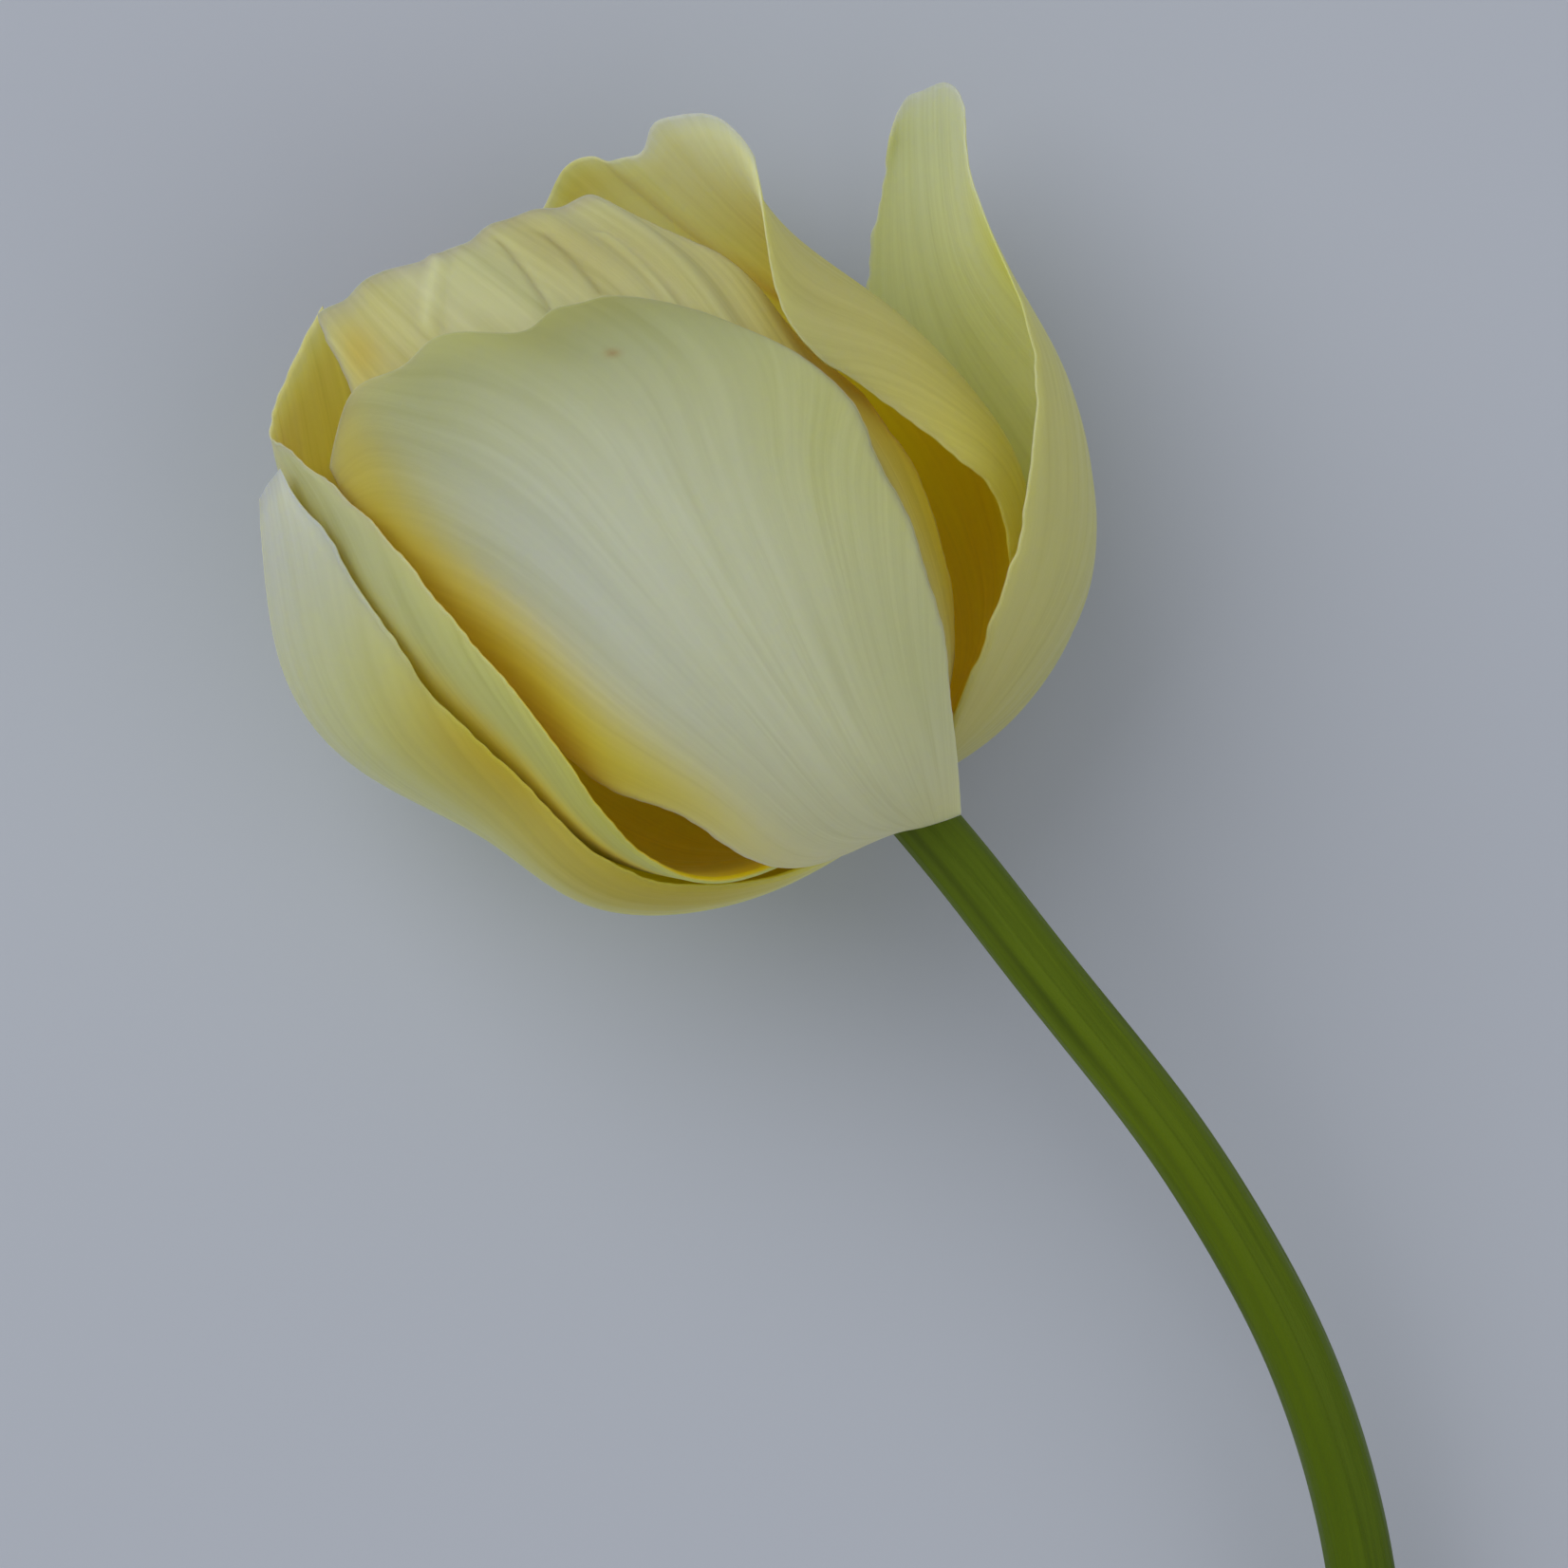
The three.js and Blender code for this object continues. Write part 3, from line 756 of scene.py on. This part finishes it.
# %% Back inner petal
petal_table(
    "inner_petal_back",
    material=INNER_PETAL, slot="inner_petal", seed=37, arc=62, veins=0.012, pleats=0.12,
    waves=0.3,
    left=[(4.5, 3.5, -2), (9, 20, 3), (18, 28.8, 8), (28, 28.8, 13), (38, 27.3, 15.5),
          (48, 27.2, 15), (62, 36.5, 5)],
    middle=[(4.5, 1.1, -3.9), (8, 16.5, -11.5), (17, 25, -15.5), (28, 29, -17.5),
            (42, 30, -18), (57, 28.7, -15), (72.2, 28, -9)],
    right=[(4.5, -1.7, -3.6), (8.5, -5, -15), (15.5, -8, -24), (27, -9, -26.5),
           (42, -8, -26.5), (57, -3, -24.5), (71, 6, -19)],
    lip=[0, 0.6, 1.5, 1.6, 1.5, 0.8, -1.4, 1.1, 2.2, 1.0, 1.2, 2.2, 1.0],
    # The crease's shade is painted shade along it.
    creases=[(1.0, 0.12, 0.76, 0.03, 1.1, 0.9, 0.22)],
    outside=(202, 199, 124),
    outside_washes=[(0.3, -0.85, 0.25, 0.7, (248, 234, 100), 0.85)],
    # Saturated gold: partly the petal's own yellow, partly painted light bounced in the shaded
    # mouth.
    inside=(255, 208, 5),
    inside_washes=[(0.97, 0, 0.2, 2, (252, 250, 186), 0.97),
                   # Olive wash on the lobe beyond the crease: painted shade.
                   (1, 0.38, 0.07, 0.26, (188, 172, 84), 0.8)])

# %% [markdown]
# The right outer petal has fallen open: its long tip stands away from the
# rest and shows its inside, and its belly rests on the floor.

# %% Right outer petal
petal_table(
    "outer_petal_right",
    material=OUTER_PETAL, slot="outer_petal", seed=41, arc=60, veins=0.012, pleats=0.08,
    waves=0.3,
    left=[(3.4, 5.6, 1.0), (7.4, 14.2, 9.5), (12.3, 25, 15), (19.5, 35.5, 14.5),
          (29, 44.3, 8), (41, 49.5, 2), (50.2, 55.9, -3)],
    middle=[(3, 5.4, -1.5), (1.6, 15.5, -5), (4.4, 27.5, -10), (12.5, 34.8, -13),
            (24.5, 38.5, -15), (39, 42, -15), (54.2, 54.2, -9)],
    right=[(2.6, 3.4, -4.5), (3.2, 8, -17), (7.5, 12, -27), (18, 15, -30.5),
           (31, 20, -30.3), (45, 36.5, -24), (53.4, 48.2, -13)],
    lip=[0, 0.5, 0.7, 0.5, 0.2, 0.5, 1.0, 0.7, 0],
    outside=(193, 193, 126),
    outside_washes=[(0.1, 0, 0.15, 2, (190, 182, 100), 0.5)],
    inside=(228, 234, 172),
    inside_washes=[(0.74, -1, 0.12, 0.35, (230, 230, 84), 0.8),
                   (1, 0, 0.14, 2, (192, 200, 168), 0.9),
                   (0.1, 0, 0.35, 2, (240, 205, 30), 0.9)])

# %% [markdown]
# The left outer petal is the brightest, almost white at its tip; that
# near-white wash is painted light coming through the petal. Where it lies
# over its neighbour it turns gold, which is painted shade where the petal
# behind holds that light back.

# %% Left outer petal
petal_table(
    "outer_petal_left",
    material=OUTER_PETAL, slot="outer_petal", seed=53, arc=58, veins=0.012, pleats=0.08,
    waves=0.3,
    left=[(2.6, -0.8, -5.6), (4.5, -3, -18), (12, -5, -28), (27, -6, -30.8),
          (42, -7, -30.6), (56, -8, -26.5), (69.5, -10, -18)],
    middle=[(2.8, -4, -4), (6.8, -17, -7), (16.5, -27.8, -9), (30, -31.4, -11),
            (45, -36.2, -11), (59, -35, -10), (72.2, -24.5, -3)],
    right=[(3.2, -5.6, -0.2), (7.5, -16.6, 4.2), (18.5, -26.3, 11.5), (32, -27.3, 17),
           (45, -27.6, 19), (59, -25.1, 17.5), (74, -21.9, 12.3)],
    lip=[0, 0, 0, 0, 0, 0, 0, 0, 0],
    outside=(240, 241, 158),
    # Near-white tip wash: painted light through the petal. The two gold washes: painted shade
    # where the inner petal lies behind.
    outside_washes=[(1, 0.9, 0.17, 0.7, (255, 255, 200), 0.9),
                    (0.28, 0.9, 0.26, 0.5, (192, 172, 46), 0.92),
                    (0.56, 1, 0.2, 0.34, (196, 172, 40), 0.92)],
    inside=(240, 225, 100),
    inside_washes=[(0.1, 0, 0.4, 2, (250, 205, 20), 0.9)])

# %% [markdown]
# Of the left inner petal only a long margin shows from above, between the
# left and the front outer petals, and its tip with the golden inside. The
# bright gold wash along the margin is painted light in the shade that the
# left outer petal's edge casts there.

# %% Left inner petal
petal_table(
    "inner_petal_left",
    material=INNER_PETAL, slot="inner_petal", seed=67, arc=55, veins=0.012, pleats=0.1,
    waves=0.3,
    left=[(4.5, -3.6, -1.7), (7.5, -10, -10), (14, -13, -20), (27, -16, -23.5),
          (42, -18, -23.5), (58, -16, -19), (83, -7, -6)],
    middle=[(4.5, -3.9, 0.8), (9, -15, 0), (18, -24.5, -2), (31, -28.5, -4),
            (45, -31.5, -5), (60, -30, -4), (79.5, -17, 2)],
    right=[(4.5, -2.4, 3.2), (10.2, -19.4, 9), (22, -23.8, 18), (35, -21.8, 24.5),
           (48, -20.6, 25.5), (61, -19.4, 21.5), (76, -20, 10)],
    lip=[0, 0, 0, 0, 0, 0, 0, 0, 0],
    outside=(192, 201, 128),
    outside_washes=[(1, 0.9, 0.22, 1, (190, 198, 152), 0.9),
                    (0.35, 0.8, 0.2, 1, (190, 192, 90), 0.85),
                    # Painted warm light in the shade cast by the left outer petal's edge.
                    (0.5, 0.66, 0.32, 0.1, (255, 224, 70), 0.9)],
    inside=(255, 206, 20),
    inside_washes=[(1, 0, 0.16, 2, (222, 204, 140), 0.95)])

# %% [markdown]
# With the tables filled in, one loop makes all six.

# %% Make the petals
for name, petal in PETALS.items():
    build_petal(name, petal)
print(len(PETALS), "petals")

# %% [markdown]
# ## The stem
#
# The stem is a long bent rod, and the natural way to make it is to carry a
# circle along a path. The circle must not twist on the way, so each step
# turns its sideways direction only as much as the path bends. The rod isn't
# quite round: shallow grooves run along it, as they do where the plant's
# fibres lie under the skin.

# %% Carry a section along a path
def carried_frames(path):
    """Directions along, sideways and crosswise at every point of a path: the
    sideways one starts upward and is made square to each new step in turn."""
    ahead = unit(np.gradient(path, axis=0))
    side = np.empty_like(path)
    current = UP
    for i, step in enumerate(ahead):
        current = current - step * (current @ step)
        current = current / np.linalg.norm(current)
        side[i] = current
    return ahead, side, np.cross(ahead, side)


def tube(path, radius, angles):
    """Points at path + radius x (side cos a + cross sin a), one ring a row."""
    _, side, cross = carried_frames(path)
    return (path[:, None] + radius[..., None] * (side[:, None] * np.cos(angles)[None, :, None]
                                                 + cross[:, None] * np.sin(angles)[None, :, None]))


def closed_tube(name, rings, material, uv, paint):
    """Quads between rings, joined round, and a fan at each end. A point at the
    mean of the end ring closes it, with the mean of that ring's values."""
    rows, sides = rings.shape[:2]
    corner = np.arange(rows * sides).reshape(rows, sides)
    after = np.roll(corner, -1, axis=1)
    quads = np.stack([corner[:-1], after[:-1], after[1:], corner[1:]], axis=-1).reshape(-1, 4)
    first, last = rows * sides, rows * sides + 1
    fans = [(first, b, a) for a, b in zip(corner[0].tolist(), after[0].tolist())]
    fans += [(last, a, b) for a, b in zip(corner[-1].tolist(), after[-1].tolist())]

    def with_ends(values):
        """One row per point of the grid, then the two end points."""
        flat = values.reshape(rows * sides, -1)
        return np.concatenate([flat, [values[0].mean(axis=0)], [values[-1].mean(axis=0)]])

    return make_mesh(name, with_ends(rings), quads.tolist() + fans, material,
                     with_ends(uv), with_ends(paint))


straight = np.linspace([0.0, 0, 0], [0, 9.0, 0], 4)
print("a straight tube's first ring:",
      tube(straight, np.ones((4, 2)), np.array([0, math.pi]))[0].round(2).tolist())

# %% [markdown]
# The stem leaves the flower at an angle, bends over and runs down to its cut
# end, which touches the floor. Its middle line is a spline, like a rib.

# %% Middle line of the stem
STEM_LINE = [(11.4, -0.1, 0), (19.0, -9.1, -1.0), (26.5, -18.7, -2.8), (34.3, -28.4, -5.0),
             (41.6, -38.0, -7.2), (48.4, -48.8, -9.4), (53.9, -59.5, -11.4),
             (58.0, -70.8, -13.4), (60.7, -82.6, -15.4), (62.0, -94.6, -17.5),
             (62.6, -106.6, -19.8), (62.9, -118.6, -22.2), (62.8, -130.6, -24.6),
             (62.5, -142.6, -27.5)]
PLAN_STEM_TOP = np.array([14.9, -3.6])
STEM_ROWS, STEM_SIDES = 420, 96


def stem_path(t):
    """The stem's middle line in mm: plan points drawn in as the petals' are."""
    p = np.array(STEM_LINE, float)
    k = (1 - p[:, 2] / EYE)[:, None]
    plan = STEM_TOP[:2] - PLAN_STEM_TOP + p[:, :2] * k
    return spline(np.concatenate([plan, STEM_TOP[2] + p[:, 2:]], axis=1), t)


down_stem = np.linspace(0, 1, STEM_ROWS)
path = stem_path(down_stem)
length = np.concatenate([[0], np.cumsum(np.linalg.norm(np.diff(path, axis=0), axis=1))])
print("stem", round(length[-1], 1), "mm long")

# %% [markdown]
# Along the stem run one groove and seven low ribs, and its skin is a little
# uneven. The top is narrowed where it meets the petals, and the rim of the
# cut is rounded.

# %% Skin of the stem
RADIUS_TOP, RADIUS_END, RADIUS_MEAN = 3.35, 3.95, 3.6       # mm
NARROWED, ROUNDED = 0.18, 0.03                              # share of the radius
NECK_REACH, CUT_REACH = (0, 0.004), (0.998, 1)              # of the stem's length
GROOVE_PLACE, GROOVE_WIDTH, GROOVE_DEPTH = 0.55, 0.16, 0.09     # radians, radians, mm
RIBS, RIB_HEIGHT = 7, 0.035
UNEVEN_HEIGHT, UNEVEN_WAVE, UNEVEN_WANDER, UNEVEN_SEED = 0.03, 1.2, 200, 5
SKIN_ROUND, SKIN_DOWN = 3, 160                              # mm a radian, and in all
GROOVE_SHADE, GROOVE_FADE, FADE_REACH = 0.30, 0.8, (0.1, 0.5)


def stem_radius(t, a, groove):
    """From the top radius to the end radius, less at both ends, minus the
    groove, plus ribs sin(7a + 2t) and a slow ripple."""
    ends = 1 - NARROWED * (1 - smooth_step(t, *NECK_REACH)) - ROUNDED * smooth_step(t, *CUT_REACH)
    radius = (RADIUS_TOP + (RADIUS_END - RADIUS_TOP) * t) * ends
    ribs = RIB_HEIGHT * np.sin(RIBS * a + 2 * t)
    uneven = ripple(a * SKIN_ROUND, t * SKIN_DOWN, UNEVEN_WAVE, UNEVEN_WANDER, UNEVEN_SEED)
    return radius - GROOVE_DEPTH * groove + ribs + UNEVEN_HEIGHT * uneven


def stem_colour(t, a, groove):
    """Green with a cooler top and a deeper lower part, darker in the groove,
    where the dark fades out down the stem."""
    skin = washed((96, 116, 4), [(0.0, 3.1, 0.2, 9, (98, 118, 22), 0.7),
                                 (0.62, 3.1, 0.25, 9, (76, 98, 0), 0.8)], t, a)
    dark = groove * (1 - GROOVE_FADE * smooth_step(t, *FADE_REACH))
    return skin * (1 - GROOVE_SHADE * dark[..., None])


angles = np.linspace(0, 2 * math.pi, STEM_SIDES, endpoint=False)
tt, aa = np.meshgrid(down_stem, angles, indexing="ij")
groove = np.exp(-((np.angle(np.exp(1j * (aa - GROOVE_PLACE)))) / GROOVE_WIDTH) ** 2)
radius = stem_radius(tt, aa, groove)
skin_rings = tube(path, radius, angles)
print("stem radius from", radius.min().round(2), "to", radius.max().round(2), "mm")

# %% [markdown]
# The lower end was cut straight across. A cut stem is pale inside, with a
# ring of wetter tissue between the skin and the pith, so the flat end is made
# of rings that shrink toward its middle, each with its own colour.

# %% Stem with its cut end
CUT_RINGS = [(0.97, (120, 140, 50)), (0.90, (168, 182, 100)), (0.75, (196, 204, 136)),
             (0.60, (176, 190, 112)), (0.45, (204, 210, 150)), (0.25, (212, 216, 160))]
centre = skin_rings[-1].mean(axis=0)
cut = np.stack([centre + (skin_rings[-1] - centre) * share for share, _ in CUT_RINGS])
cut_paint = np.stack([np.broadcast_to(to_linear(rgb), (STEM_SIDES, 3)) for _, rgb in CUT_RINGS])
skin_uv = np.stack([aa * RADIUS_MEAN, np.broadcast_to(length[:, None], aa.shape)], axis=-1)
cut_uv = np.repeat(skin_uv[-1:], len(CUT_RINGS), axis=0)
hand_over(closed_tube("fine_stem", np.concatenate([skin_rings, cut]), STEM,
                      np.concatenate([skin_uv, cut_uv]),
                      np.concatenate([stem_colour(tt, aa, groove), cut_paint])), "stem")
print("the cut end has", len(CUT_RINGS), "rings of pith")

# %% [markdown]
# ## The pistil and the stamens
#
# The ovary is a three-sided column and the stigma on it a small crown of
# three lobes. Both are turned shapes: one ring of radius r(h) at each height,
# swollen three times round by 1 + lobe cos(3a). The lobes of the crown carry a
# pale fuzz, which is a fast ripple of the radius.

# %% Materials of the inner parts
def inner_material(name, roughness, mottle, scale, bump):
    """Matt plant skin: the paint, darkened in small spots, with fine grain."""
    material, nodes, links, shader = new_material(name)
    paint = nodes.new("ShaderNodeAttribute")
    paint.attribute_name = "paint"
    place = nodes.new("ShaderNodeTexCoord")
    grain = nodes.new("ShaderNodeTexNoise")
    grain.inputs["Scale"].default_value = scale
    grain.inputs["Detail"].default_value = 4.0
    shade = nodes.new("ShaderNodeMapRange")
    shade.inputs["To Min"].default_value = 1 - mottle
    shade.inputs["To Max"].default_value = 1 + mottle
    tinted = nodes.new("ShaderNodeVectorMath")
    tinted.operation = "SCALE"
    relief = nodes.new("ShaderNodeBump")
    relief.inputs["Strength"].default_value = bump
    relief.inputs["Distance"].default_value = 0.0001
    links.new(place.outputs["Object"], grain.inputs["Vector"])
    links.new(grain.outputs["Fac"], shade.inputs["Value"])
    links.new(paint.outputs["Color"], tinted.inputs[0])
    links.new(shade.outputs["Result"], tinted.inputs["Scale"])
    links.new(grain.outputs["Fac"], relief.inputs["Height"])
    links.new(tinted.outputs["Vector"], shader.inputs["Base Color"])
    links.new(relief.outputs["Normal"], shader.inputs["Normal"])
    shader.inputs["Roughness"].default_value = roughness
    shader.inputs["Subsurface Weight"].default_value = 0.2
    shader.inputs["Subsurface Scale"].default_value = 0.0006
    return material


OVARY = inner_material("ovary", 0.5, 0.08, 900, 0.3)
STIGMA = inner_material("stigma", 0.8, 0.12, 2500, 0.8)
FILAMENT = inner_material("filament", 0.55, 0.06, 1200, 0.3)
ANTHER = inner_material("anther", 0.95, 0.25, 3000, 0.9)
print("inner materials:", OVARY.name, STIGMA.name, FILAMENT.name, ANTHER.name)

# %% Ovary and stigma
TURNED_ROWS = 120
FUZZ_ROUND, FUZZ_UP, FUZZ_WAVE, FUZZ_WANDER, FUZZ_SEED = 8, 12, 1.1, 7, 81
VALLEY_SHADE, LOBED = 0.25, 0.03        # darkening between lobes larger than this


def turned(name, profile, columns, fuzz, material, paint):
    """Rings of radius r(h) (1 + lobe(h) cos 3a) along the flower's axis, from a
    few (h, r, lobe) points joined by a spline, with fuzz in mm on the skin."""
    h, r, lobe = np.moveaxis(spline(profile, np.linspace(0, 1, TURNED_ROWS)), -1, 0)
    a = np.linspace(0, 2 * math.pi, columns, endpoint=False)
    hh, aa = np.meshgrid(h, a, indexing="ij")
    rr = r[:, None] * (1 + lobe[:, None] * np.cos(3 * aa))
    rr = rr + fuzz * ripple(aa * FUZZ_ROUND, hh * FUZZ_UP, FUZZ_WAVE, FUZZ_WANDER,
                            FUZZ_SEED, terms=10)
    rings = from_flower(np.stack([hh, rr * np.sin(aa), rr * np.cos(aa)], axis=-1))
    valley = (1 - np.cos(3 * aa)) / 2 * (lobe[:, None] > LOBED)
    colour = to_linear(paint) * (1 - VALLEY_SHADE * valley[..., None])
    hand_over(closed_tube("fine_" + name, rings, material, np.stack([aa, hh], axis=-1), colour),
              name)


OVARY_PROFILE = [(5.5, 1.5, 0.03), (9.1, 2.85, 0.06), (12.7, 3.15, 0.07), (16.2, 3.15, 0.07),
                 (19.8, 2.95, 0.06), (23.4, 2.6, 0.06), (27.0, 1.55, 0.05)]
STIGMA_PROFILE = [(27.5, 2.1, 0.1), (28.5, 3.1, 0.22), (29.5, 3.75, 0.28),
                  (30.5, 3.85, 0.32), (31.5, 3.0, 0.3), (32.5, 1.2, 0.2)]
turned("ovary", OVARY_PROFILE, 96, 0.02, OVARY, (176, 186, 100))
turned("stigma", STIGMA_PROFILE, 144, 0.07, STIGMA, (226, 214, 150))
print("pistil from h =", OVARY_PROFILE[0][0], "to", STIGMA_PROFILE[-1][0], "mm")

# %% [markdown]
# Six stamens stand round the ovary, sixty degrees apart. Each is a thread
# that leans outward, with a long pollen sac on top. The sac is two sacs side
# by side, so its section is pinched in the middle, in front and behind, and
# its skin is rough with pollen.

# %% One part of a stamen
STAMEN_ROWS = 90
GRAIN_ROUND, GRAIN_UP, GRAIN_WAVE, GRAIN_WANDER = 5, 30, 1.0, 5
PINCH_WIDTH, SEAM_WIDTH, SEAM_SHADE = 0.35, 0.3, 0.35       # of the half width, and of the light


def stamen_part(name, azimuth, shape):
    """Oval rings wide x deep along a bent line (h, r) beside the ovary, pinched
    in the middle by 1 - pinch exp(-(across / 0.35)^2), with grain as a share."""
    t = np.linspace(0, 1, STAMEN_ROWS)
    h, r = np.moveaxis(spline(shape["line"], t), -1, 0)
    wide, deep = np.moveaxis(spline(shape["widths"], t), -1, 0)
    a = np.linspace(0, 2 * math.pi, shape["columns"], endpoint=False)
    tt, aa = np.meshgrid(t, a, indexing="ij")
    rough = 1 + shape["grain"] * ripple(aa * GRAIN_ROUND, tt * GRAIN_UP, GRAIN_WAVE,
                                        GRAIN_WANDER, int(azimuth * 100), terms=10)
    pinched = 1 - shape["pinch"] * np.exp(-(np.sin(aa) / PINCH_WIDTH) ** 2)
    sideways = wide[:, None] * np.sin(aa) * rough
    outward = r[:, None] + deep[:, None] * np.cos(aa) * rough * pinched
    w = outward * math.sin(azimuth) + sideways * math.cos(azimuth)
    d = outward * math.cos(azimuth) - sideways * math.sin(azimuth)
    rings = from_flower(np.stack([np.broadcast_to(h[:, None], w.shape), w, d], axis=-1))
    seam = np.exp(-(np.sin(aa) / SEAM_WIDTH) ** 2) * (shape["pinch"] > 0)
    colour = to_linear(shape["paint"]) * (1 - SEAM_SHADE * seam)[..., None]
    hand_over(closed_tube("fine_" + name, rings, shape["material"],
                          np.stack([aa, tt], axis=-1), colour), name)


print("a stamen part has", STAMEN_ROWS, "rings")

# %% Six stamens
STAMENS, FIRST_AZIMUTH = 6, 0.15
FILAMENT_SHAPE = dict(
    line=[(5.5, 2.75), (9, 4.5), (12.6, 5.4), (16.3, 5.9)],
    widths=[(0.36, 0.3), (0.58, 0.58), (0.6, 0.6), (0.6, 0.6), (0.54, 0.54), (0.3, 0.3)],
    columns=36, pinch=0, grain=0.02, material=FILAMENT, slot="filament", paint=(222, 212, 140))
ANTHER_SHAPE = dict(
    line=[(16.8, 6.0), (21, 6.5), (25.2, 6.8), (29.5, 6.9)],
    widths=[(0.5, 0.45), (1.25, 1.0), (1.35, 1.08), (1.35, 1.08), (1.28, 1.02), (1.1, 0.9),
            (0.42, 0.4)],
    columns=60, pinch=0.35, grain=0.06, material=ANTHER, slot="anther", paint=(150, 120, 44))
for i in range(STAMENS):
    azimuth = 2 * math.pi * i / STAMENS + FIRST_AZIMUTH
    stamen_part(f"filament_{i + 1}", azimuth, FILAMENT_SHAPE)
    stamen_part(f"anther_{i + 1}", azimuth, ANTHER_SHAPE)
print(STAMENS, "stamens")
